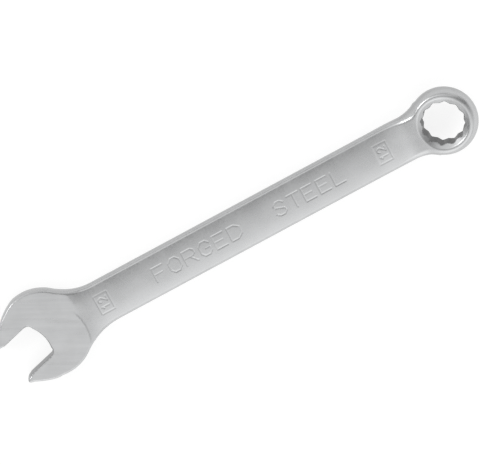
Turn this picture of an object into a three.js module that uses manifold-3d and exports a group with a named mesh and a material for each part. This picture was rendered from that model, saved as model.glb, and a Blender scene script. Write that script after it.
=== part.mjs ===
// Combination wrench for a 12 mm nut: one drop-forged piece of steel, satin chromed.
// Millimetres. +X runs along the shank to the box end, +Z is up, and the wrench lies flat:
// it rests on the open head's underside and on the near lower rim of the box ring.
// The shape is built with the centre of the open head at x = 0, y = 0, and then moved so that
// the origin is at the bottom centre of the wrench's bounding box.

import * as THREE from 'three';
import { mergeVertices } from 'three/addons/utils/BufferGeometryUtils.js';
import Module from 'manifold-3d';

// ---------- driving dimensions ----------

const nutSize = 12.1; // across flats, with the usual 0.1 of play
const centreDistance = 136.7; // open head centre to box ring centre
const jawAngle = THREE.MathUtils.degToRad(15); // open mouth, turned in plan
const boxAngle = THREE.MathUtils.degToRad(15); // box end, bent up

// open head
const headThickness = 5.8;
const headEdgeRound = 0.5;
const jawReach = 12.2; // head centre to the inner end of the jaws, along the mouth
const groundFaceReach = 11.2; // head centre to the back edge of the ground flat
const groundFaceSide = -3.9; // the middle of that edge lies towards the lower jaw
const lowerCheek = { x: 0, y: -0.35, radius: 13.8 };
const upperCheek = { x: -1.3, y: 0.5, radius: 13.6 };
const lowerFilletRadius = 22;
const upperFilletRadius = 18;
const throatDepth = 1.35; // from the head centre towards the mouth
const throatRadius = 10.8;
const throatCornerRadius = 1.9;

// shank
const shankWidth = 13.8;
const shankEdgeThickness = 4.1;
const shankCrownThickness = 5.1;
const shankEdgeRound = 0.7;

// box ring and the neck that carries it
const ringOuterRadius = 10.55;
const ringFaceRadius = 9;
const ringThickness = 8;
const countersinkRadius = 7.95;
const countersinkAngle = THREE.MathUtils.degToRad(34); // from the ring's face
const neckFilletRadius = 13;
const neckThickness = 6.7;
const neckStart = 20; // before the ring centre, where the shank starts to grow thicker
const neckEnd = 7; // before the ring centre, where it is as thick as it gets
const neckBendLength = 12; // stretch over which the middle plane turns up

const halfWidth = shankWidth / 2;
const halfHead = headThickness / 2;
const halfRing = ringThickness / 2;
const ringHeight = halfRing * Math.cos(boxAngle) + ringFaceRadius * Math.sin(boxAngle);

// ---------- solids and booleans ----------

const wasm = await Module();
wasm.setup();

function toSolid(geometry) {
  const bare = geometry.clone();
  bare.deleteAttribute('normal');
  bare.deleteAttribute('uv');
  const merged = mergeVertices(bare, 1e-4);
  return new wasm.Manifold(new wasm.Mesh({
    numProp: 3,
    vertProperties: new Float32Array(merged.attributes.position.array),
    triVerts: new Uint32Array(merged.index.array),
  }));
}

function toGeometry(solid) {
  const mesh = solid.getMesh();
  const geometry = new THREE.BufferGeometry();
  geometry.setAttribute('position', new THREE.BufferAttribute(mesh.vertProperties, 3));
  geometry.setIndex(new THREE.BufferAttribute(mesh.triVerts, 1));
  geometry.computeVertexNormals();
  return geometry;
}

// The outline's own points, without the doubled ones where an arc takes over from a curve.
function cleanOutline(shape) {
  const points = shape.getPoints(12);
  const shortest = 0.01;
  return new THREE.Shape(points.filter((point, i) => {
    const next = points[(i + 1) % points.length];
    return point.distanceTo(next) > shortest;
  }));
}

// A prism of a plan shape between two heights, with rounded top and bottom edges if asked.
function prism(shape, low, high, edgeRound = 0) {
  const geometry = new THREE.ExtrudeGeometry(cleanOutline(shape), {
    depth: high - low - 2 * edgeRound,
    bevelEnabled: edgeRound > 0,
    bevelThickness: edgeRound,
    bevelSize: edgeRound,
    bevelOffset: -edgeRound,
    bevelSegments: 2,
  });
  geometry.translate(0, 0, low + edgeRound);
  return geometry;
}

// ---------- open head ----------

// The point that lies `along` the mouth's axis, counted towards the mouth, and `across` it.
function mouthPoint(along, across) {
  return new THREE.Vector2(-along, across).rotateAround(new THREE.Vector2(), jawAngle);
}

// Where a fillet leaves the shank's straight edge, and the angle at which it meets the cheek.
function cheekFillet(cheek, filletRadius, side) {
  const rise = halfWidth + filletRadius - side * cheek.y;
  const reach = cheek.radius + filletRadius;
  const run = Math.sqrt(reach * reach - rise * rise);
  return { x: cheek.x + run, cheekAngle: Math.atan2(side * rise, run) };
}

const lowerFillet = cheekFillet(lowerCheek, lowerFilletRadius, -1);
const upperFillet = cheekFillet(upperCheek, upperFilletRadius, 1);

// Draws one curve of a shape with control points given as vectors.
function curveThrough(shape, firstHandle, secondHandle, end) {
  shape.bezierCurveTo(firstHandle.x, firstHandle.y, secondHandle.x, secondHandle.y, end.x, end.y);
}

function cheekPoint(cheek, angle) {
  const direction = new THREE.Vector2(Math.cos(angle), Math.sin(angle));
  return direction.multiplyScalar(cheek.radius).add(new THREE.Vector2(cheek.x, cheek.y));
}

// A jaw's rounded end, from its face to its outer flank: points past the jaw's face and reach.
function jawTip(side) {
  const places = [[0, 0.6], [0.3, 2.3], [1.4, 3.5], [2.4, 1.1]];
  return places.map(([across, along]) => (
    mouthPoint(jawReach + along, side * (nutSize / 2 + across))
  ));
}

// Plan of the whole head before the mouth is cut, counter-clockwise from the upper jaw's tip.
function headShape() {
  const shape = new THREE.Shape();
  const innerAcross = nutSize / 2 - 1;
  const upperCorner = mouthPoint(jawReach, innerAcross);
  const lowerCorner = mouthPoint(jawReach, -innerAcross);
  const lowerTip = jawTip(-1);
  const upperTip = jawTip(1).reverse();
  const lowerJawAngle = THREE.MathUtils.degToRad(-100);
  const upperJawAngle = THREE.MathUtils.degToRad(104);
  const lowerJaw = cheekPoint(lowerCheek, lowerJawAngle);
  const upperShoulder = cheekPoint(upperCheek, upperFillet.cheekAngle);
  const back = new THREE.Vector2(groundFaceReach, groundFaceSide);
  const lowerBackHandles = [new THREE.Vector2(10.4, -9.6), new THREE.Vector2(back.x, -6.8)];
  const upperBackHandles = [new THREE.Vector2(back.x, 0.5), new THREE.Vector2(10.4, 7)];

  shape.moveTo(upperTip[3].x, upperTip[3].y);
  shape.lineTo(upperCorner.x, upperCorner.y);
  shape.lineTo(lowerCorner.x, lowerCorner.y);
  shape.lineTo(lowerTip[0].x, lowerTip[0].y);
  curveThrough(shape, lowerTip[1], lowerTip[2], lowerTip[3]);
  curveThrough(shape, mouthPoint(10, -11.4), mouthPoint(6.5, -13.2), lowerJaw);
  shape.absarc(
    lowerCheek.x, lowerCheek.y, lowerCheek.radius, lowerJawAngle, lowerFillet.cheekAngle, false,
  );
  curveThrough(shape, ...lowerBackHandles, back);
  curveThrough(shape, ...upperBackHandles, upperShoulder);
  shape.absarc(
    upperCheek.x, upperCheek.y, upperCheek.radius, upperFillet.cheekAngle, upperJawAngle, false,
  );
  curveThrough(shape, mouthPoint(4.6, 14.2), mouthPoint(10.3, 11.4), upperTip[0]);
  curveThrough(shape, upperTip[1], upperTip[2], upperTip[3]);
  return shape;
}

// The mouth: two parallel jaw faces and a slightly hollow throat with rounded corners.
function mouthShape() {
  const shape = new THREE.Shape();
  const half = nutSize / 2;
  const cornerAcross = half - throatCornerRadius;
  const cornerAlong = throatDepth + cornerAcross ** 2 / (2 * throatRadius) + throatCornerRadius;
  const outside = 24;
  const throatHandle = cornerAcross ** 2 / (2 * throatRadius) - throatDepth;
  shape.moveTo(-outside, -half);
  shape.lineTo(-cornerAlong, -half);
  shape.absarc(-cornerAlong, -cornerAcross, throatCornerRadius, -Math.PI / 2, 0, false);
  shape.quadraticCurveTo(throatHandle, 0, -cornerAlong + throatCornerRadius, cornerAcross);
  shape.absarc(-cornerAlong, cornerAcross, throatCornerRadius, 0, Math.PI / 2, false);
  shape.lineTo(-outside, half);
  return shape;
}

// ---------- shank and neck ----------

// Half of the shank's thickness at a place across it, from 0 in the middle to 1 at the edge.
function crownAt(across) {
  return (shankCrownThickness - (shankCrownThickness - shankEdgeThickness) * across ** 2) / 2;
}

// Cross section with crowned faces and rounded edges, as wide and thick as the plain shank.
function shankSection() {
  const upper = [];
  const faceSteps = 8;
  const edgeAcross = halfWidth - shankEdgeRound;
  for (let i = 0; i <= faceSteps; i += 1) {
    const y = edgeAcross * (1 - (2 * i) / faceSteps);
    upper.push(new THREE.Vector2(y, crownAt(y / halfWidth)));
  }
  const edgeTop = crownAt(edgeAcross / halfWidth) - shankEdgeRound;
  const side = [0.5, 1].map((share) => {
    const angle = (Math.PI / 2) * share;
    return new THREE.Vector2(
      edgeAcross + shankEdgeRound * Math.sin(angle),
      edgeTop + shankEdgeRound * Math.cos(angle),
    );
  });
  const rightEdge = [...side].reverse();
  const leftEdge = side.map((point) => new THREE.Vector2(-point.x, point.y));
  const top = [...rightEdge, ...upper, ...leftEdge];
  const bottom = [...top].reverse().map((point) => new THREE.Vector2(point.x, -point.y));
  return new THREE.Shape([...top, ...bottom]);
}

// Distance from the middle line to the shank's edge: straight, with a fillet at each end.
function edgeAt(x, side) {
  const fillet = side > 0 ? upperFillet : lowerFillet;
  const filletRadius = side > 0 ? upperFilletRadius : lowerFilletRadius;
  const neckRun = Math.sqrt(
    (ringOuterRadius + neckFilletRadius) ** 2 - (halfWidth + neckFilletRadius) ** 2,
  );
  const pastHead = Math.max(0, fillet.x - x);
  const pastNeck = Math.max(0, x - (centreDistance - neckRun));
  const headFlare = filletRadius - Math.sqrt(filletRadius ** 2 - pastHead ** 2);
  const neckFlare = neckFilletRadius - Math.sqrt(neckFilletRadius ** 2 - pastNeck ** 2);
  return halfWidth + headFlare + neckFlare;
}

// Height of the middle plane: level along the shank, then bent up to the ring's own plane.
function middleHeightAt(x) {
  const slope = Math.tan(boxAngle);
  const bendCentre = centreDistance - (ringHeight - halfHead) / slope;
  const pastBend = THREE.MathUtils.clamp(x - bendCentre + neckBendLength / 2, 0, neckBendLength);
  const pastCurve = Math.max(0, x - bendCentre - neckBendLength / 2);
  return halfHead + slope * (pastBend ** 2 / (2 * neckBendLength) + pastCurve);
}

function thicknessScaleAt(x) {
  const beforeRing = centreDistance - x;
  const share = 1 - THREE.MathUtils.smoothstep(beforeRing, neckEnd, neckStart);
  return THREE.MathUtils.lerp(1, neckThickness / shankCrownThickness, share);
}

function handleGeometry() {
  const start = 7.5;
  const end = centreDistance - 6.5;
  const geometry = new THREE.ExtrudeGeometry(shankSection(), {
    depth: end - start,
    steps: 44,
    bevelEnabled: false,
  });
  const position = geometry.attributes.position;
  for (let i = 0; i < position.count; i += 1) {
    const x = position.getZ(i) + start;
    const across = position.getX(i) / halfWidth;
    const y = across * edgeAt(x, Math.sign(across));
    const z = position.getY(i) * thicknessScaleAt(x) + middleHeightAt(x);
    position.setXYZ(i, x, y, z);
  }
  return geometry;
}

// ---------- box ring ----------

// Turned about the ring's own axis, which stands along +Z here: a barrel with flat faces.
function ringGeometry() {
  const innerRadius = 5;
  const barrelSteps = 10;
  const profile = [new THREE.Vector2(innerRadius, -halfRing)];
  for (let i = 0; i <= barrelSteps; i += 1) {
    const angle = Math.PI * (i / barrelSteps - 0.5);
    const bulge = Math.max(0, Math.cos(angle)) ** 0.7;
    profile.push(new THREE.Vector2(
      ringFaceRadius + (ringOuterRadius - ringFaceRadius) * bulge,
      halfRing * Math.sin(angle),
    ));
  }
  profile.push(new THREE.Vector2(innerRadius, halfRing));
  profile.push(profile[0].clone());
  const geometry = new THREE.LatheGeometry(profile, 60);
  geometry.rotateX(Math.PI / 2);
  return geometry;
}

// A double hexagon: twelve points, with one on the wrench's middle line.
function twelvePointShape() {
  const points = [];
  for (let i = 0; i < 24; i += 1) {
    const radius = nutSize / 2 / Math.cos(THREE.MathUtils.degToRad(i % 2 === 0 ? 30 : 15));
    const angle = (Math.PI / 12) * i;
    points.push(new THREE.Vector2(radius * Math.cos(angle), radius * Math.sin(angle)));
  }
  return new THREE.Shape(points);
}

// Cone that opens towards +Z and leaves the ring's face at the countersink's radius.
function countersinkGeometry() {
  const depth = (countersinkRadius - 5) * Math.tan(countersinkAngle);
  const beyond = 1;
  const profile = [
    new THREE.Vector2(0, halfRing - depth),
    new THREE.Vector2(5, halfRing - depth),
    new THREE.Vector2(countersinkRadius + beyond / Math.tan(countersinkAngle), halfRing + beyond),
    new THREE.Vector2(0, halfRing + beyond),
  ];
  const geometry = new THREE.LatheGeometry(profile, 60);
  geometry.rotateX(Math.PI / 2);
  return geometry;
}

// From the ring's own upright frame to its place at the end of the neck.
function placeOnNeck(geometry) {
  geometry.rotateY(-boxAngle);
  geometry.translate(centreDistance, 0, ringHeight);
  return geometry;
}

// ---------- the forging ----------

function forging() {
  const mouth = prism(mouthShape(), -2, headThickness + 2);
  mouth.rotateZ(jawAngle);
  const upperSink = countersinkGeometry();
  const lowerSink = countersinkGeometry();
  lowerSink.rotateX(Math.PI);
  const hole = prism(twelvePointShape(), -ringThickness, ringThickness);

  return toSolid(prism(headShape(), 0, headThickness, headEdgeRound))
    .add(toSolid(handleGeometry()))
    .add(toSolid(placeOnNeck(ringGeometry())))
    .subtract(toSolid(mouth))
    .subtract(toSolid(placeOnNeck(hole)))
    .subtract(toSolid(placeOnNeck(upperSink)))
    .subtract(toSolid(placeOnNeck(lowerSink)));
}

const satinChrome = new THREE.MeshStandardMaterial({
  color: 0xbfc1c4,
  roughness: 0.34,
  metalness: 1,
});

const wrenchForging = new THREE.Mesh(toGeometry(forging()), satinChrome);
wrenchForging.name = 'wrench_forging';
wrenchForging.geometry.computeBoundingBox();
const extent = wrenchForging.geometry.boundingBox;
const middle = extent.getCenter(new THREE.Vector3());
wrenchForging.position.set(-middle.x, -middle.y, -extent.min.z);

const wrench = new THREE.Group();
wrench.add(wrenchForging);

export default wrench;
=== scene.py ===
"""A 12 mm combination wrench in satin chrome, lying on a pale studio floor.

The wrench is one forging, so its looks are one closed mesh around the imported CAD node. The shape
is written as a signed field in millimetres, negative inside the steel, and a surface net turns
the field's zero level into a fine mesh. The wrench's own frame has the open head's centre at
x = 0, y = 0, the surface it lies on at z = 0, and +X along the shank to the box end.
"""

import math

import bpy
import numpy as np
from mathutils import Matrix, Vector


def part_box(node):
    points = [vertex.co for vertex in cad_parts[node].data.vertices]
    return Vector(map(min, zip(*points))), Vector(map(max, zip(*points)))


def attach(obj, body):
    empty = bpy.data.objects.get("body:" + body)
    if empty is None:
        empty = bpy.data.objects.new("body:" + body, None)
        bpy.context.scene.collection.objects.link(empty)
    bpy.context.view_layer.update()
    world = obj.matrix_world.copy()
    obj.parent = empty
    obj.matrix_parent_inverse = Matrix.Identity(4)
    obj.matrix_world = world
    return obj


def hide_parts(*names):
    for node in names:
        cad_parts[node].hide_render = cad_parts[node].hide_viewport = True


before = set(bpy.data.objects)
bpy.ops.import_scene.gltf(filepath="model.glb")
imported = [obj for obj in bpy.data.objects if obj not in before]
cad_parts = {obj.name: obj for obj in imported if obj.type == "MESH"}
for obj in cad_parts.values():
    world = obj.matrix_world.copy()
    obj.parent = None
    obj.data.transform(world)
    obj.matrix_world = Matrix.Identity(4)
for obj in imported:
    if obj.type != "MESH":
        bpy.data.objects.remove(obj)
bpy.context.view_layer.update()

NODE = "wrench_forging"
MM = 0.001
TINY = 1e-9                       # keeps a division away from zero

# ---------- driving sizes, in millimetres ----------

NUT = 12.1                        # across flats, at the mouth and in the box hole
CENTRES = 136.7                   # open head centre to box ring centre
TURN = math.radians(15)           # mouth turned in plan, and box end bent up

HEAD_HALF = 2.9                   # half of the head's thickness
HEAD_EDGE = 0.9                   # radius of the head's rounded edges
HEAD_LIMIT = 14.0                 # the mouth and the ground flats lie before this x
JAW_REACH = 12.2                  # head centre to where the jaw faces end
UPPER_FLANK = [(4.6, 14.2), (10.3, 11.4)]      # curve handles, along and across the mouth
LOWER_FLANK = [(10.0, -11.4), (6.5, -13.2)]
UPPER_CHEEK_END = math.radians(104)            # where each flank runs into the round cheek
LOWER_CHEEK_START = math.radians(-100)
JAW_TIP = [(0.0, 0.6), (0.3, 2.3), (1.4, 3.5), (2.4, 1.1)]     # outwards and along, from JAW_REACH
THROAT = 1.35                     # head centre to the throat's nearest point
THROAT_RADIUS = 10.8
THROAT_CORNER = 1.9

GROUND_OFF = 0.12                 # forged height that grinding takes off the head
GROUND_CREASE = 0.05              # softness of the ground flat's own edge
GROUND_REACH = 11.2               # head centre to the back edge of the ground flat
GROUND_RADIUS = 14.5
GROUND_SIDE = -3.9                # that edge's own centre lies towards the lower jaw

SHANK_HALF_WIDTH = 6.9
SHANK_HALF = 2.55                 # half of the shank's thickness on its middle line
SHANK_FALL = 0.62                 # how much lower the crowned face is at its edge
SHANK_EDGE = 1.05
CROWN_POWER = 2.2                 # a higher power keeps more of the face flat
UPRIGHT = 0.5                     # half height of the upright band at the parting line
DRAFT = 0.05                      # how far the wall leans in for each millimetre beyond it

SWELL_LEAD = 0.7                  # the swell to the head starts this far inside the ground flat
CRISP_RUN = 8.0                   # its length towards -Y, where it ends sharply at the flat
SOFT_RUN = 6.0                    # its length towards +Y, where it is soft and runs straight across
SOFT_START = 10.0                 # about where the flat ends on that side
SWELL_STEP = 0.16                 # the small drop at the sharp edge
SWELL_STEP_RUN = (0.5, 1.1)       # where that drop starts and ends, from the start of the swell

RING_OUTER = 10.55
RING_EDGE = 0.4
WALL_BULGE = 5.8                  # radius of the ring's barrel wall, seen in a cut through it
RING_HALF = 4.0
RING_FACE = 9.0
SINK_RADIUS = 7.95                # countersink at the ring's face
SINK_ANGLE = math.radians(34)
POINT_BLUNT = 0.12                # cut off each of the twelve points
NECK_FILLET = 13.0
NECK_HALF = 3.35
NECK_CROWN = 0.4                  # share of the shank's crown left at the neck
BEND = 12.0                       # length of the bend from the shank's plane to the ring's
RING_BLEND = 0.8                  # softness of the join between the neck's wall and the ring's

MOUTH_EDGE = 0.3                  # softness of the edges of each cut
HOLE_EDGE = 0.22
SINK_EDGE = 0.15

RING_HEIGHT = RING_HALF * math.cos(TURN) + RING_FACE * math.sin(TURN)

# Stretches over which one form turns into the next, as (start, end) along X.
BEHIND_MOUTH = (2.0, 5.0)
HEAD_TO_SHANK = (7.0, 14.0)
GROUND_END = (13.0, 20.0)
NECK_SWELL = (CENTRES - 24.0, CENTRES - 6.0)
NECK_WALL = (CENTRES - 20.0, CENTRES - 8.0)
NECK_EDGE = (CENTRES - 14.0, CENTRES - 5.0)
UPPER_JOIN = (CENTRES - 15.0, CENTRES - 6.0)      # neck face into ring face
LOWER_JOIN = (CENTRES - 10.5, CENTRES - 4.5)      # shorter, to keep the neck off the ground

# The stretch along Y from the crisp side of the head's swell to its soft side.
CRISP_TO_SOFT = (-0.5, 4.0)

# ---------- looks ----------

GRIND_TURN = math.radians(-28)    # direction of the grinding streaks, from +X
FACE_GREY = 0.57                  # reflectance of the plated faces, and the side walls' grey under it, which is painted shade
SHADED_WALL_GREY = 0.39
MOUTH_FINISH_AND_SHADE = 0.62                # share of that left on the mouth's broached walls and in the box hole: duller cut finish plus painted shade
HOLE_FINISH_AND_SHADE = 0.22


# ---------- plan outlines ----------

def arc(centre, radius, start, end, steps):
    """Points on a circle from one angle to another."""
    angles = np.linspace(start, end, steps)
    return np.column_stack([centre[0] + radius * np.cos(angles), centre[1] + radius * np.sin(angles)])


def bezier(first, first_handle, second_handle, last, steps=16):
    """Points on a curve that leaves and arrives along its two handles."""
    t = np.linspace(0.0, 1.0, steps)[:, None]
    points = np.array([first, first_handle, second_handle, last])
    return (
        (1 - t) ** 3 * points[0]
        + 3 * (1 - t) ** 2 * t * points[1]
        + 3 * (1 - t) * t ** 2 * points[2]
        + t ** 3 * points[3]
    )


def mouth_point(along, across):
    """The point that far from the head's centre towards the mouth, and across it."""
    cosine = math.cos(TURN)
    sine = math.sin(TURN)
    return np.array([-along * cosine - across * sine, -along * sine + across * cosine])


class Cheek:
    """One round side of the head and the fillet that leads it into the shank."""

    def __init__(self, side, centre, radius, fillet):
        self.side = side
        self.centre = np.array(centre)
        self.radius = radius
        self.fillet = fillet
        rise = SHANK_HALF_WIDTH + fillet - side * centre[1]
        run = math.sqrt((radius + fillet) ** 2 - rise ** 2)
        self.fillet_centre = np.array([centre[0] + run, side * (SHANK_HALF_WIDTH + fillet)])
        self.shoulder = math.atan2(side * rise, run)

    def on_circle(self, angle):
        return self.centre + self.radius * np.array([math.cos(angle), math.sin(angle)])

    def fillet_arc(self):
        """From the shank's straight edge to the cheek."""
        start = -self.side * math.pi / 2
        end = self.shoulder - self.side * math.pi
        return arc(self.fillet_centre, self.fillet, start, end, steps=24)


LOWER = Cheek(side=-1, centre=(0.0, -0.35), radius=13.8, fillet=22.0)
UPPER = Cheek(side=1, centre=(-1.3, 0.5), radius=13.6, fillet=18.0)


def neck_arc(side):
    """The fillet from the shank's straight edge to the ring, towards the ring."""
    rise = SHANK_HALF_WIDTH + NECK_FILLET
    run = math.sqrt((RING_OUTER + NECK_FILLET) ** 2 - rise ** 2)
    centre = (CENTRES - run, side * rise)
    turn = math.atan2(run, rise)
    start = -side * math.pi / 2
    return arc(centre, NECK_FILLET, start, start + side * turn, steps=28)


def jaw_tip(side):
    """A jaw's rounded end, from the jaw face to the outer flank."""
    points = [mouth_point(JAW_REACH + along, side * (NUT / 2 + across)) for across, along in JAW_TIP]
    return bezier(*points, steps=10)


def flank(start, handles, end):
    """The outer side of a jaw, between its tip and the round cheek."""
    return bezier(start, mouth_point(*handles[0]), mouth_point(*handles[1]), end)


def body_outline():
    """The wrench in plan, counter-clockwise, with the mouth still filled; it ends in the ring."""
    fill_half_width = NUT / 2 - 1.0
    lower_tip = jaw_tip(-1)
    upper_tip = jaw_tip(1)
    cheek_start = LOWER.on_circle(LOWER_CHEEK_START)
    cheek_end = UPPER.on_circle(UPPER_CHEEK_END)
    inside_ring_x = CENTRES + 3.0
    inside_ring_y = 6.0
    return np.vstack([
        [mouth_point(JAW_REACH, fill_half_width), mouth_point(JAW_REACH, -fill_half_width)],
        lower_tip,
        flank(lower_tip[-1], LOWER_FLANK, cheek_start)[1:],
        arc(LOWER.centre, LOWER.radius, LOWER_CHEEK_START, LOWER.shoulder, steps=24)[1:],
        LOWER.fillet_arc()[::-1][1:],
        neck_arc(-1),
        [(inside_ring_x, -inside_ring_y), (inside_ring_x, inside_ring_y)],
        neck_arc(1)[::-1],
        UPPER.fillet_arc(),
        arc(UPPER.centre, UPPER.radius, UPPER.shoulder, UPPER_CHEEK_END, steps=24)[1:],
        flank(cheek_end, UPPER_FLANK, upper_tip[-1])[1:],
        upper_tip[::-1][1:],
    ])


def mouth_outline():
    """Two parallel jaw faces and a slightly hollow throat with rounded corners."""
    half = NUT / 2
    corner_across = half - THROAT_CORNER
    corner_along = THROAT + corner_across ** 2 / (2 * THROAT_RADIUS) + THROAT_CORNER
    past_jaws = 24.0
    quarter = math.pi / 2
    lower_corner = arc((-corner_along, -corner_across), THROAT_CORNER, -quarter, 0.0, steps=10)
    upper_corner = arc((-corner_along, corner_across), THROAT_CORNER, 0.0, quarter, steps=10)
    across = np.linspace(-corner_across, corner_across, 16)[1:-1]
    throat = np.column_stack([-THROAT - across ** 2 / (2 * THROAT_RADIUS), across])
    lower_end = [(-past_jaws, -half)]
    upper_end = [(-past_jaws, half)]
    local = np.vstack([lower_end, lower_corner, throat, upper_corner, upper_end])
    return np.array([mouth_point(-x, y) for x, y in local])


def segment_distance(x, y, start, end):
    """Distance in plan to the straight line between two points."""
    edge = end - start
    along = ((x - start[0]) * edge[0] + (y - start[1]) * edge[1]) / max(edge @ edge, TINY)
    along = np.clip(along, 0.0, 1.0)
    return np.hypot(x - start[0] - along * edge[0], y - start[1] - along * edge[1])


def outline_distance(outline, x, y):
    """Distance in plan to a closed outline, negative inside."""
    x, y = np.broadcast_arrays(x, y)
    nearest = np.full(x.shape, np.inf)
    inside = np.zeros(x.shape, bool)
    for start, end in zip(outline, np.roll(outline, -1, axis=0)):
        nearest = np.minimum(nearest, segment_distance(x, y, start, end))
        if start[1] != end[1]:
            crosses = (start[1] > y) != (end[1] > y)
            crossing_x = (end[0] - start[0]) * (y - start[1]) / (end[1] - start[1]) + start[0]
            inside ^= crosses & (x < crossing_x)
    return np.where(inside, -nearest, nearest)


# ---------- joining fields ----------

def smooth_max(a, b, blend):
    """The larger of two values, with a soft change-over where they are within `blend`."""
    share = np.clip(0.5 + 0.5 * (a - b) / blend, 0.0, 1.0)
    return b + (a - b) * share + blend * share * (1 - share)


def smooth_min(a, b, blend):
    return -smooth_max(-a, -b, blend)


def smooth_step(low, high, value):
    """0 up to low, 1 from high on, and an even ease between them."""
    share = np.clip((value - low) / (high - low), 0.0, 1.0)
    return share * share * (3 - 2 * share)


def rounded_join(a, b, radius):
    """The solid inside both walls, with an edge of that radius where they meet."""
    outside = np.hypot(np.maximum(a + radius, 0.0), np.maximum(b + radius, 0.0))
    return outside + np.minimum(np.maximum(a, b) + radius, 0.0) - radius


# ---------- struck marks ----------

def stroke_letters():
    """Each letter as strokes on a cell one wide and one high."""
    round_right = [(0.0, 1.0), (0.55, 1.0), (0.95, 0.75), (0.95, 0.25), (0.55, 0.0), (0.0, 0.0)]
    bowl = [(0.0, 1.0), (0.7, 1.0), (0.92, 0.85), (0.92, 0.62), (0.7, 0.48), (0.0, 0.48)]
    ring = [
        (0.3, 0.0), (0.7, 0.0), (0.95, 0.25), (0.95, 0.75), (0.7, 1.0), (0.3, 1.0), (0.05, 0.75),
        (0.05, 0.25), (0.3, 0.0),
    ]
    open_ring = [
        (0.92, 0.8), (0.7, 1.0), (0.3, 1.0), (0.05, 0.75), (0.05, 0.25), (0.3, 0.0), (0.7, 0.0),
        (0.92, 0.2), (0.92, 0.48), (0.55, 0.48),
    ]
    two_bends = [
        (0.9, 0.82), (0.65, 1.0), (0.3, 1.0), (0.08, 0.82), (0.12, 0.62), (0.85, 0.4), (0.92, 0.18),
        (0.68, 0.0), (0.3, 0.0), (0.05, 0.18),
    ]
    hook = [
        (0.05, 0.78), (0.3, 1.0), (0.7, 1.0), (0.93, 0.78), (0.9, 0.6), (0.05, 0.0), (0.95, 0.0),
    ]
    return {
        "F": [[(0.9, 1.0), (0.0, 1.0), (0.0, 0.0)], [(0.0, 0.52), (0.7, 0.52)]],
        "O": [ring],
        "R": [[(0.0, 0.0)] + bowl, [(0.5, 0.48), (0.95, 0.0)]],
        "G": [open_ring],
        "E": [[(0.9, 1.0), (0.0, 1.0), (0.0, 0.0), (0.9, 0.0)], [(0.0, 0.52), (0.7, 0.52)]],
        "D": [round_right + [(0.0, 1.0)]],
        "S": [two_bends],
        "T": [[(0.0, 1.0), (1.0, 1.0)], [(0.5, 1.0), (0.5, 0.0)]],
        "L": [[(0.0, 1.0), (0.0, 0.0), (0.9, 0.0)]],
        "1": [[(0.2, 0.75), (0.55, 1.0), (0.55, 0.0)]],
        "2": [hook],
    }


LETTERS = stroke_letters()


def word_strokes(word, middle, height, pitch, width, turned=False):
    """Line pieces, in the wrench's plan, of a word centred at `middle` on the shank."""
    pieces = []
    start = -(pitch * (len(word) - 1) + width) / 2
    for place, letter in enumerate(word):
        for stroke in LETTERS[letter]:
            local = np.array([
                (start + place * pitch + width * across, height * (up - 0.5)) for across, up in stroke
            ])
            if turned:
                local = np.column_stack([-local[:, 1], local[:, 0]])
            points = local + np.array(middle)
            pieces += list(zip(points[:-1], points[1:]))
    return pieces


def frame_strokes(middle, along, across):
    """Line pieces of a rectangle that long and that wide."""
    corners = np.array([(-1, -1), (1, -1), (1, 1), (-1, 1), (-1, -1)]) * np.array([along, across]) / 2
    points = corners + np.array(middle)
    return list(zip(points[:-1], points[1:]))


def size_mark(x):
    """The nut size in a frame, its digits across the shank."""
    middle = (x, 0.0)
    digits = word_strokes("12", middle, height=2.6, pitch=2.2, width=1.6, turned=True)
    return frame_strokes(middle, along=4.4, across=6.0) + digits


NEAR_SIZE_X = 19.7
FAR_SIZE_X = 115.8
MARK_DEPTH = 0.06
MARK_FLOOR = 0.08                 # from a stroke's middle to where its floor ends
MARK_EDGE = 0.32                  # and to where it meets the face

UPPER_MARKS = (
    size_mark(NEAR_SIZE_X)
    + size_mark(FAR_SIZE_X)
    + word_strokes("FORGED", (52.0, 0.0), height=4.4, pitch=5.2, width=4.0)
    + word_strokes("STEEL", (90.5, 0.0), height=4.4, pitch=5.0, width=3.8)
)
LOWER_MARKS = size_mark(NEAR_SIZE_X)


def groove(strokes, x, y):
    """How deep the struck line is at each place."""
    x, y = np.broadcast_arrays(x, y)
    nearest = np.full(x.shape, np.inf)
    reach = 1.0
    for start, end in strokes:
        near = (
            (x > min(start[0], end[0]) - reach)
            & (x < max(start[0], end[0]) + reach)
            & (y > min(start[1], end[1]) - reach)
            & (y < max(start[1], end[1]) + reach)
        )
        nearest[near] = np.minimum(nearest[near], segment_distance(x[near], y[near], start, end))
    return MARK_DEPTH * (1 - smooth_step(MARK_FLOOR, MARK_EDGE, nearest))


# ---------- the wrench ----------

BODY_OUTLINE = body_outline()
MOUTH_OUTLINE = mouth_outline()


def middle_height(x):
    """The middle plane: level along the shank, then bent up into the ring's own plane."""
    slope = math.tan(TURN)
    bend_centre = CENTRES - (RING_HEIGHT - HEAD_HALF) / slope
    in_bend = np.clip(x - bend_centre + BEND / 2, 0.0, BEND)
    past_bend = np.maximum(x - bend_centre - BEND / 2, 0.0)
    return HEAD_HALF + slope * (in_bend ** 2 / (2 * BEND) + past_bend)


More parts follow.
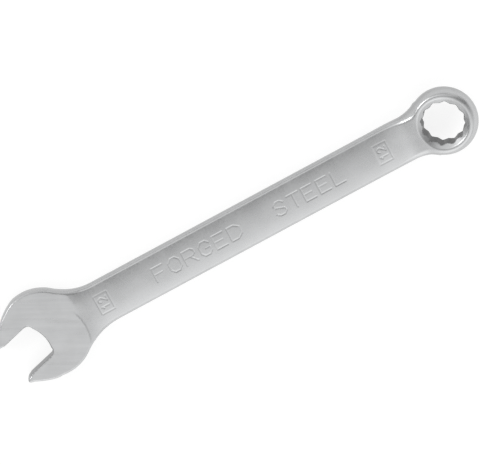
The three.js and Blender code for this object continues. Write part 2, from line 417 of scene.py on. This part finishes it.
def half_thickness(x, y, plan):
    """The crowned shank, swelling to the neck at one end and to the head at the other."""
    from_middle = 1.0 - np.clip(-plan / SHANK_HALF_WIDTH, 0.0, 1.0)
    neck = smooth_step(*NECK_SWELL, x)
    crown = SHANK_FALL * from_middle ** CROWN_POWER * (1 - (1 - NECK_CROWN) * neck)
    shank = SHANK_HALF - crown + (NECK_HALF - SHANK_HALF) * neck
    softness = smooth_step(*CRISP_TO_SOFT, y)
    past_arc = np.hypot(x - GROUND_REACH + GROUND_RADIUS, y - GROUND_SIDE) - GROUND_RADIUS
    past_flat = past_arc + (x - SOFT_START - past_arc) * softness + SWELL_LEAD
    past_flat = np.maximum(past_flat, 0.0) * smooth_step(*BEHIND_MOUTH, x)
    crisp = np.clip(1 - past_flat / CRISP_RUN, 0.0, 1.0) ** 2
    soft = 1 - smooth_step(0.0, SOFT_RUN, past_flat)
    swell = crisp + (soft - crisp) * softness
    step_down = SWELL_STEP * smooth_step(*SWELL_STEP_RUN, past_flat) * (1 - softness) * swell
    return shank + (HEAD_HALF + GROUND_OFF - shank) * swell - step_down


def ring_place(x, y, z):
    """Distance from the ring's axis, height up that axis, and how far past it the place lies."""
    from_centre = x - CENTRES
    up = z - RING_HEIGHT
    along = from_centre * math.cos(TURN) + up * math.sin(TURN)
    height = -from_centre * math.sin(TURN) + up * math.cos(TURN)
    return np.hypot(along, y), height, along


def barrel_wall(outside, height):
    """A wall that bulges in the middle, from the distance outside its widest line."""
    return np.hypot(np.maximum(outside + WALL_BULGE, 0.0), height) - WALL_BULGE


def forging(x, y, z, radius, height):
    """Head, shank, neck and ring as they leave the hammer, then the head's flats ground off."""
    plan = outline_distance(BODY_OUTLINE, x, y)
    middle = middle_height(x)
    above = np.abs(z - middle)
    wall = plan + DRAFT * np.maximum(above - UPRIGHT, 0.0)
    wall = wall + (barrel_wall(plan, above) - wall) * smooth_step(*NECK_WALL, x)
    wall = smooth_min(wall, barrel_wall(radius - RING_OUTER, height), RING_BLEND)
    face = above - half_thickness(x, y, plan)
    join = np.where(z > middle, smooth_step(*UPPER_JOIN, x), smooth_step(*LOWER_JOIN, x))
    face = face + (np.abs(height) - RING_HALF - face) * join
    edge = HEAD_EDGE + (SHANK_EDGE - HEAD_EDGE) * smooth_step(*HEAD_TO_SHANK, x)
    edge = edge + (RING_EDGE - SHANK_EDGE) * smooth_step(*NECK_EDGE, x)
    lifted_clear = 9.0 * smooth_step(*GROUND_END, x)
    ground = above - HEAD_HALF - lifted_clear
    return smooth_max(rounded_join(wall, face, edge), ground, GROUND_CREASE)


def twelve_points(radius, along, across):
    """Two hexagons turned by 30 degrees, with their points slightly blunt."""
    angle = np.arctan2(across, along)
    sixth = math.pi / 3
    flats = [
        radius * np.cos(np.mod(angle + offset, sixth) - sixth / 2) - NUT / 2
        for offset in (0.0, sixth / 2)
    ]
    corner = radius - (NUT / 2 / math.cos(sixth / 2) - POINT_BLUNT)
    return smooth_max(smooth_min(flats[0], flats[1], blend=0.12), corner, blend=0.1)


def countersink(radius, height):
    """The cone that opens the hole towards each face of the ring."""
    above_face = np.abs(height) - RING_HALF
    return (radius - SINK_RADIUS) * math.sin(SINK_ANGLE) - above_face * math.cos(SINK_ANGLE)


def wrench_field(x, y, z):
    """Negative inside the steel, and close to the distance in millimetres near its surface."""
    radius, height, along = ring_place(x, y, z)
    body = forging(x, y, z, radius, height)
    mouth = outline_distance(MOUTH_OUTLINE, x, y)
    body = smooth_max(body, -mouth, MOUTH_EDGE)
    hole = smooth_min(twelve_points(radius, along, y), countersink(radius, height), SINK_EDGE)
    body = smooth_max(body, -hole, HOLE_EDGE)
    upper = groove(UPPER_MARKS, x, y)
    lower = groove(LOWER_MARKS, x, y)
    return body + np.where(z > middle_height(x), upper, lower)


# ---------- surface net ----------

def graded(stops):
    """Grid lines between stops, each given as (place, cell size up to the next place)."""
    lines = []
    for (start, cell), (end, _) in zip(stops[:-1], stops[1:]):
        count = max(1, round((end - start) / cell))
        lines.append(np.linspace(start, end, count, endpoint=False))
    lines.append([stops[-1][0]])
    return np.concatenate(lines)


def surface_net(field, xs, ys, zs):
    """Vertices and quads of the field's zero level, with one vertex in each crossed cell."""
    lines = (xs, ys, zs)
    values = field(xs[:, None, None], ys[None, :, None], zs[None, None, :])
    inside = values < 0
    crossed_cells, crossings, leaving = [], [], []
    for axis in range(3):
        behind = [slice(None)] * 3
        ahead = [slice(None)] * 3
        behind[axis] = slice(0, -1)
        ahead[axis] = slice(1, None)
        start = np.argwhere(inside[tuple(behind)] != inside[tuple(ahead)])
        end = start.copy()
        end[:, axis] += 1
        start_value = values[tuple(start.T)]
        share = start_value / (start_value - values[tuple(end.T)])
        point = np.column_stack([line[start[:, i]] for i, line in enumerate(lines)])
        point[:, axis] += share * (lines[axis][end[:, axis]] - point[:, axis])
        around = np.repeat(start[:, None, :], 4, axis=1)
        around[:, :, (axis + 1) % 3] += [-1, 0, 0, -1]
        around[:, :, (axis + 2) % 3] += [-1, -1, 0, 0]
        crossed_cells.append(np.ravel_multi_index(tuple(np.moveaxis(around, 2, 0)), values.shape))
        crossings.append(point)
        leaving.append(start_value < 0)
    quads = np.vstack(crossed_cells)
    points = np.repeat(np.vstack(crossings), 4, axis=0)
    leaving = np.concatenate(leaving)
    _, index = np.unique(quads, return_inverse=True)
    index = index.reshape(quads.shape)
    shares = np.bincount(index.ravel())
    vertices = np.column_stack([np.bincount(index.ravel(), points[:, i]) / shares for i in range(3)])
    return vertices, np.where(leaving[:, None], index, index[:, ::-1])


def slope_of(field, points, here, step=0.01):
    """The field's slope along X, Y and Z at points where its value is `here`."""
    columns = []
    for axis in range(3):
        offset = np.zeros(3)
        offset[axis] = step
        columns.append((field(*(points + offset).T) - here) / step)
    return np.column_stack(columns)


def settle(field, points, rounds=2, longest=0.12, flattest=0.2):
    """Moves points on to the zero level and returns them with the outward directions there."""
    for _ in range(rounds):
        here = field(*points.T)
        slope = slope_of(field, points, here)
        steepness = np.maximum((slope ** 2).sum(axis=1), flattest)
        move = -(here / steepness)[:, None] * slope
        length = np.linalg.norm(move, axis=1, keepdims=True)
        points = points + move * np.minimum(1.0, longest / np.maximum(length, TINY))
    slope = slope_of(field, points, field(*points.T))
    return points, slope / np.linalg.norm(slope, axis=1, keepdims=True)


def wrench_mesh():
    """The wrench's surface, finest at the struck marks and coarsest on the plain shank."""
    cell = 0.3
    fine = 0.22
    coarse = 0.6
    xs = graded([
        (-16.5, cell),
        (17.0, fine),
        (22.5, coarse),
        (35.0, fine),
        (69.0, coarse),
        (79.0, fine),
        (104.5, coarse),
        (114.0, fine),
        (119.5, cell),
        (CENTRES + 11.5, cell),
    ])
    ys = graded([(-15.5, cell), (-3.4, fine), (3.4, cell), (14.5, cell)])
    zs = graded([(-0.8, cell), (RING_HEIGHT + RING_HALF + 3.2, cell)])
    vertices, quads = surface_net(wrench_field, xs, ys, zs)
    vertices, normals = settle(wrench_field, vertices)
    return vertices, quads, normals


# ---------- materials ----------

def object_noise(nodes, links, scale, detail, stretch=(1.0, 1.0, 1.0), turn=0.0):
    """Noise fixed to the piece; stretch and turn lay it out in streaks."""
    place_node = nodes.new("ShaderNodeTexCoord")
    mapping = nodes.new("ShaderNodeMapping")
    mapping.vector_type = "TEXTURE"
    mapping.inputs["Scale"].default_value = stretch
    mapping.inputs["Rotation"].default_value = (0.0, 0.0, turn)
    noise = nodes.new("ShaderNodeTexNoise")
    noise.inputs["Scale"].default_value = scale
    noise.inputs["Detail"].default_value = detail
    links.new(place_node.outputs["Object"], mapping.inputs["Vector"])
    links.new(mapping.outputs["Vector"], noise.inputs["Vector"])
    return noise.outputs["Fac"]


def spread(nodes, links, value, low, high, from_low=0.3, from_high=0.7):
    """A value between from_low and from_high laid out between low and high."""
    node = nodes.new("ShaderNodeMapRange")
    node.inputs["From Min"].default_value = from_low
    node.inputs["From Max"].default_value = from_high
    node.inputs["To Min"].default_value = low
    node.inputs["To Max"].default_value = high
    links.new(value, node.inputs["Value"])
    return node.outputs["Result"]


def combine(nodes, links, operation, first, second):
    """The sum or product of two values."""
    node = nodes.new("ShaderNodeMath")
    node.operation = operation
    links.new(first, node.inputs[0])
    links.new(second, node.inputs[1])
    return node.outputs["Value"]


def tinted(nodes, links, grey, tint):
    """A grey level made into a colour with a faint tint."""
    node = nodes.new("ShaderNodeVectorMath")
    node.operation = "SCALE"
    node.inputs[0].default_value = tint
    links.new(grey, node.inputs["Scale"])
    return node.outputs["Vector"]


def mixed(nodes, links, share, first, second):
    """first where share is 0, second where it is 1."""
    node = nodes.new("ShaderNodeMix")
    links.new(share, node.inputs["Factor"])
    links.new(first, node.inputs["A"])
    links.new(second, node.inputs["B"])
    return node.outputs["Result"]


def attribute(nodes, name):
    """A value stored on the mesh's vertices."""
    node = nodes.new("ShaderNodeAttribute")
    node.attribute_name = name
    return node.outputs["Fac"]


def satin_chrome():
    """Plating with a tumbled grain, straight streaks on the ground flats, dull on the cut walls, with
    painted shade darkening the side walls, the mouth's walls and the box hole.
    """
    material = bpy.data.materials.new("satin_chrome")
    material.use_nodes = True
    nodes, links = material.node_tree.nodes, material.node_tree.links
    shader = nodes["Principled BSDF"]
    shader.inputs["Metallic"].default_value = 1.0
    ground = attribute(nodes, "ground")
    finish_and_shade = attribute(nodes, "finish_and_shade")
    cloud = object_noise(nodes, links, scale=160.0, detail=4.0)
    grain = object_noise(nodes, links, scale=1500.0, detail=3.0)
    streaks = object_noise(
        nodes, links, scale=900.0, detail=3.0, stretch=(14.0, 1.0, 1.0), turn=GRIND_TURN
    )

    # Colour: walls are painted darker than faces by the way they face, as painted shade, and the
    # ground flats show streaks instead of grain.
    geometry = nodes.new("ShaderNodeNewGeometry")
    parts = nodes.new("ShaderNodeSeparateXYZ")
    links.new(geometry.outputs["Normal"], parts.inputs[0])
    level = nodes.new("ShaderNodeMath")
    level.operation = "ABSOLUTE"
    links.new(parts.outputs["Z"], level.inputs[0])
    # Painted shade: the grey falls from the faces' value to the darker wall value as the surface
    # turns upright.
    grain_and_wall_shade = spread(
        nodes, links, level.outputs["Value"], SHADED_WALL_GREY, FACE_GREY, from_low=0.25, from_high=0.7
    )
    grain_and_wall_shade = combine(nodes, links, "MULTIPLY", grain_and_wall_shade, spread(nodes, links, grain, 0.97, 1.03))
    streaked = spread(nodes, links, streaks, FACE_GREY * 0.99, FACE_GREY * 1.09)
    grey = mixed(nodes, links, ground, grain_and_wall_shade, streaked)
    grey = combine(nodes, links, "MULTIPLY", grey, spread(nodes, links, cloud, 0.955, 1.04))
    # Painted shade: the mouth's walls and the box hole are made darker, over their duller cut finish.
    grey = combine(nodes, links, "MULTIPLY", grey, finish_and_shade)
    cool = (0.996, 1.005, 1.014)
    links.new(tinted(nodes, links, grey, cool), shader.inputs["Base Color"])

    # Roughness: a little more where the shine is less.
    grain_rough = spread(nodes, links, grain, 0.12, 0.2)
    cloud_rough = spread(nodes, links, cloud, 0.1, 0.16)
    tumbled_rough = combine(nodes, links, "ADD", grain_rough, cloud_rough)
    rough = mixed(nodes, links, ground, tumbled_rough, spread(nodes, links, streaks, 0.26, 0.36))
    dull = spread(nodes, links, finish_and_shade, 0.12, 0.0, from_low=0.2, from_high=1.0)
    links.new(combine(nodes, links, "ADD", rough, dull), shader.inputs["Roughness"])

    # Relief: only the fine grain and the streaks, as every visible form is in the mesh.
    cloud_height = spread(nodes, links, cloud, 0.0, 4.0, from_low=0.0, from_high=1.0)
    tumbled_height = combine(nodes, links, "ADD", grain, cloud_height)
    streaked_height = spread(nodes, links, streaks, 0.0, 0.5, from_low=0.0, from_high=1.0)
    bump = nodes.new("ShaderNodeBump")
    bump.inputs["Strength"].default_value = 0.27
    bump.inputs["Distance"].default_value = 0.02 * MM
    links.new(mixed(nodes, links, ground, tumbled_height, streaked_height), bump.inputs["Height"])
    links.new(bump.outputs["Normal"], shader.inputs["Normal"])
    return material


def ground_share(points, normals):
    """1 on the head's ground flats and 0 elsewhere."""
    near_plane = np.abs(np.abs(points[:, 2] - HEAD_HALF) - HEAD_HALF) < 0.03
    level = smooth_step(0.985, 0.999, np.abs(normals[:, 2]))
    return np.where(near_plane & (points[:, 0] < HEAD_LIMIT), level, 0.0)


def finish_and_shade_share(points):
    """1 on plated skin, less on the broached walls of the mouth and least in the box hole: a duller
    cut finish that also carries painted shade of these recesses.
    """
    radius, height, along = ring_place(*points.T)
    finish_and_shade = np.ones(len(points))
    from_points = np.abs(twelve_points(radius, along, points[:, 1]))
    from_sink = np.abs(countersink(radius, height))
    finish_and_shade[(from_points < from_sink - 0.1) & (radius < NUT / 2 + 1.0)] = HOLE_FINISH_AND_SHADE
    on_mouth = outline_distance(MOUTH_OUTLINE, points[:, 0], points[:, 1]) < 0.2
    finish_and_shade[on_mouth & (points[:, 0] < HEAD_LIMIT)] = MOUTH_FINISH_AND_SHADE
    return finish_and_shade


# ---------- the piece ----------

def build_wrench():
    """Makes the piece in its node's place and returns where the head's centre came to lie."""
    vertices, quads, normals = wrench_mesh()
    low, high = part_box(NODE)
    own_middle = (vertices.min(axis=0) + vertices.max(axis=0)) / 2
    node_middle = np.array((low + high) / 2)
    place = node_middle - own_middle * MM
    place[2] = low.z
    mesh = bpy.data.meshes.new("combination_wrench")
    mesh.from_pydata((vertices * MM + place).tolist(), [], quads.tolist())
    mesh.validate()
    mesh.materials.append(satin_chrome())
    shares = {"ground": ground_share(vertices, normals), "finish_and_shade": finish_and_shade_share(vertices)}
    for name, values in shares.items():
        stored = mesh.attributes.new(name, "FLOAT", "POINT")
        stored.data.foreach_set("value", values.astype(np.float32))
    mesh.polygons.foreach_set("use_smooth", np.ones(len(quads), bool))
    mesh.normals_split_custom_set_from_vertices(normals.tolist())
    piece = bpy.data.objects.new("combination_wrench", mesh)
    bpy.context.scene.collection.objects.link(piece)
    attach(piece, "root")
    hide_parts(NODE)
    return Vector(place)


# ---------- studio ----------

# Brightness of the white room: (how far the direction has turned from -Y to +Y, share), and the
# same from -X to +X. The two shares are multiplied.
SKY_ACROSS = [
    (0.0, 0.8),
    (0.08, 1.0),
    (0.2, 1.08),
    (0.42, 0.72),
    (0.60, 0.34),
    (0.72, 0.55),
    (0.82, 0.92),
    (1.0, 0.55),
]
SKY_ALONG = [(0.0, 0.55), (0.15, 0.65), (0.27, 1.0), (0.51, 0.85), (0.72, 0.62), (1.0, 0.55)]
SKY_STRENGTH = 1.4

RIGHT = Vector((0.8808, -0.4653, 0.0888)).normalized()
TOWARDS_CAMERA = Vector((0.0103, 0.2071, 0.9784)).normalized()
LOOK_AT = Vector((66.61, -0.90, 5.95))    # millimetres from the head's centre
CAMERA_DISTANCE = 713.0 * MM
VIEW_WIDTH = 146.7 * MM                   # what the picture spans at that distance
SENSOR_WIDTH = 36.0


def add_camera(place):
    """Looks steeply down from the +Y side, with the box end up on the right of the picture."""
    up = TOWARDS_CAMERA.cross(RIGHT).normalized()
    right = up.cross(TOWARDS_CAMERA).normalized()
    eye = place + LOOK_AT * MM + TOWARDS_CAMERA * CAMERA_DISTANCE
    camera = bpy.data.cameras.new("camera")
    camera.sensor_width = SENSOR_WIDTH
    camera.lens = SENSOR_WIDTH * CAMERA_DISTANCE / VIEW_WIDTH
    camera.clip_start = 0.01
    camera.clip_end = 20.0
    holder = bpy.data.objects.new("camera", camera)
    rotation = Matrix((right, up, TOWARDS_CAMERA)).transposed().to_4x4()
    holder.matrix_world = Matrix.Translation(eye) @ rotation
    bpy.context.scene.collection.objects.link(holder)
    bpy.context.scene.camera = holder


def add_floor():
    """A wide pale floor that glows a little, so that it stays near white under the wrench."""
    half = 4.0
    corners = [(-half, -half, 0.0), (half, -half, 0.0), (half, half, 0.0), (-half, half, 0.0)]
    mesh = bpy.data.meshes.new("floor")
    mesh.from_pydata(corners, [], [(0, 1, 2, 3)])
    material = bpy.data.materials.new("floor")
    material.use_nodes = True
    shader = material.node_tree.nodes["Principled BSDF"]
    shader.inputs["Base Color"].default_value = (0.3, 0.3, 0.3, 1.0)
    shader.inputs["Roughness"].default_value = 0.9
    shader.inputs["Specular IOR Level"].default_value = 0.1
    shader.inputs["Emission Color"].default_value = (1.0, 1.0, 1.0, 1.0)
    shader.inputs["Emission Strength"].default_value = 0.8
    mesh.materials.append(material)
    floor = bpy.data.objects.new("floor", mesh)
    bpy.context.scene.collection.objects.link(floor)


def add_softbox(name, direction, distance, size, power):
    """A lit rectangle that far from the origin, facing it."""
    light = bpy.data.lights.new(name, "AREA")
    light.shape = "RECTANGLE"
    light.size, light.size_y = size
    light.energy = power
    holder = bpy.data.objects.new(name, light)
    aim = Vector(direction).normalized()
    rotation = aim.to_track_quat("Z", "Y").to_matrix().to_4x4()
    holder.matrix_world = Matrix.Translation(aim * distance) @ rotation
    bpy.context.scene.collection.objects.link(holder)


def ramp(nodes, links, value, stops):
    """Turns a direction's part, from -1 to 1, into a grey by the stops."""
    share = spread(nodes, links, value, 0.0, 1.0, from_low=-1.0, from_high=1.0)
    node = nodes.new("ShaderNodeValToRGB")
    node.color_ramp.interpolation = "EASE"
    elements = node.color_ramp.elements
    while len(elements) < len(stops):
        elements.new(0.5)
    for element, (position, brightness) in zip(elements, stops):
        element.position = position
        element.color = (brightness, brightness, brightness, 1.0)
    links.new(share, node.inputs["Fac"])
    return node.outputs["Color"]


def add_sky():
    """A white room, darkest a little to the +Y side of overhead and brightest low towards -Y."""
    world = bpy.data.worlds.new("studio")
    world.use_nodes = True
    nodes, links = world.node_tree.nodes, world.node_tree.links
    direction = nodes.new("ShaderNodeTexCoord")
    parts = nodes.new("ShaderNodeSeparateXYZ")
    links.new(direction.outputs["Generated"], parts.inputs[0])
    across = ramp(nodes, links, parts.outputs["Y"], SKY_ACROSS)
    along = ramp(nodes, links, parts.outputs["X"], SKY_ALONG)
    product = nodes.new("ShaderNodeMixRGB")
    product.blend_type = "MULTIPLY"
    product.inputs["Fac"].default_value = 1.0
    links.new(across, product.inputs["Color1"])
    links.new(along, product.inputs["Color2"])
    links.new(product.outputs["Color"], nodes["Background"].inputs["Color"])
    nodes["Background"].inputs["Strength"].default_value = SKY_STRENGTH
    bpy.context.scene.world = world


place = build_wrench()
add_camera(place)
add_floor()
add_sky()
add_softbox("side_softbox", direction=(-0.58, 0.55, 0.60), distance=1.2, size=(0.46, 0.24), power=2.1)
bpy.context.scene.view_settings.view_transform = "Standard"
